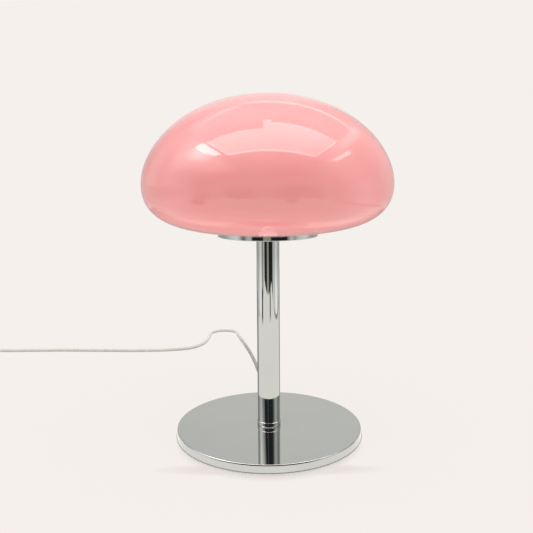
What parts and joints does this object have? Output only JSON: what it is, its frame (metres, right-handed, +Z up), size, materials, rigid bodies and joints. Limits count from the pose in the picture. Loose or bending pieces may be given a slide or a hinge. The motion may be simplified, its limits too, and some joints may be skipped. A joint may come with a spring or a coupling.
{
  "type": "table lamp",
  "caption": "Table lamp with a wide cloud-shaped glass shade on a round carrier plate, a straight stem, a thin round base and a corded in-line switch and plug.",
  "frame": {"origin": "centre of the base's underside, where the lamp stands on a table", "axes": "+Z up along the stem; -Y is the front; the cord leaves the base towards +Y"},
  "size_m": [0.662, 0.5403, 0.35],
  "materials": {
    "pad_foam": "closed-cell foam, matt",
    "plain_steel": "zinc plated",
    "chrome": "polished chrome plate",
    "brass": "turned, bare",
    "seat_rubber": "clear white silicone",
    "opal_glass": "pink opal glass, fire polished",
    "holder_plastic": "moulded thermoset",
    "ceramic": "unglazed porcelain",
    "bulb_diffuser": "frosted polycarbonate",
    "bulb_plastic": "moulded",
    "aluminium": "board laminate, aluminium core",
    "nickel": "nickel plated",
    "dark_glass": "fused black glass",
    "cord_pvc": "white PVC sheath, satin",
    "brown_core": "PVC insulation",
    "blue_core": "PVC insulation",
    "switch_plastic": "moulded ABS",
    "tie_strap": "thin moulded strap",
    "pin_sleeve": "moulded on the pins"
  },
  "bodies": {
    "stand": {"base_pad": "pad_foam", "base_weight": "plain_steel", "base_cover": "chrome", "base_washer": "plain_steel", "base_nut": "brass", "threaded_rod": "plain_steel", "stem_collar": "chrome", "stem_tube": "chrome", "tube_bush": "brass", "shade_plate": "chrome", "plate_washer": "plain_steel", "plate_nut": "brass", "glass_seat": "seat_rubber", "holder_cap": "holder_plastic", "holder_skirt": "holder_plastic", "holder_core": "ceramic", "holder_sleeve": "brass", "holder_contact": "brass", "terminal_screws": "brass", "cord_gland": "cord_pvc", "cord_tail": "cord_pvc", "live_core": "brown_core", "neutral_core": "blue_core", "cord_run": "cord_pvc", "switch_base": "switch_plastic", "switch_cover": "switch_plastic", "rocker_pin": "plain_steel", "switch_contacts": "brass", "switch_screws": "plain_steel", "cord_link": "cord_pvc", "cord_coil": "cord_pvc", "coil_tie": "tie_strap", "cord_end": "cord_pvc", "plug_body": "cord_pvc", "plug_pins": "nickel", "plug_sleeves": "pin_sleeve"},
    "shade": {"shade_glass": "opal_glass"},
    "bulb_tip": {"bulb_contact": "nickel"},
    "bulb": {"bulb_globe": "bulb_diffuser", "bulb_housing": "bulb_plastic", "bulb_board": "aluminium", "bulb_cap": "nickel", "bulb_insulator": "dark_glass"},
    "rocker": {"switch_rocker": "switch_plastic"}
  },
  "joints": [
    {"name": "shade_lift", "type": "slide", "parent": "stand", "child": "shade", "axis": [0, 0, 1], "range_m": [0, 0.13]},
    {"name": "bulb_rise", "type": "slide", "parent": "stand", "child": "bulb_tip", "axis": [0, 0, 1], "range_m": [0, 0.0127]},
    {"name": "bulb_turn", "type": "hinge", "parent": "bulb_tip", "child": "bulb", "pos_m": [0, 0, 0.25], "axis": [0, 0, 1], "range_deg": [0, 1620]},
    {"name": "rocker_tilt", "type": "hinge", "parent": "stand", "child": "rocker", "pos_m": [-0.465, 0.3, 0.0138], "axis": [0, -1, 0], "range_deg": [0, 14]}
  ],
  "couplings": [
    {"joint": "bulb_rise", "follows": "bulb_turn", "m_per_rad": 0.0004488}
  ]
}
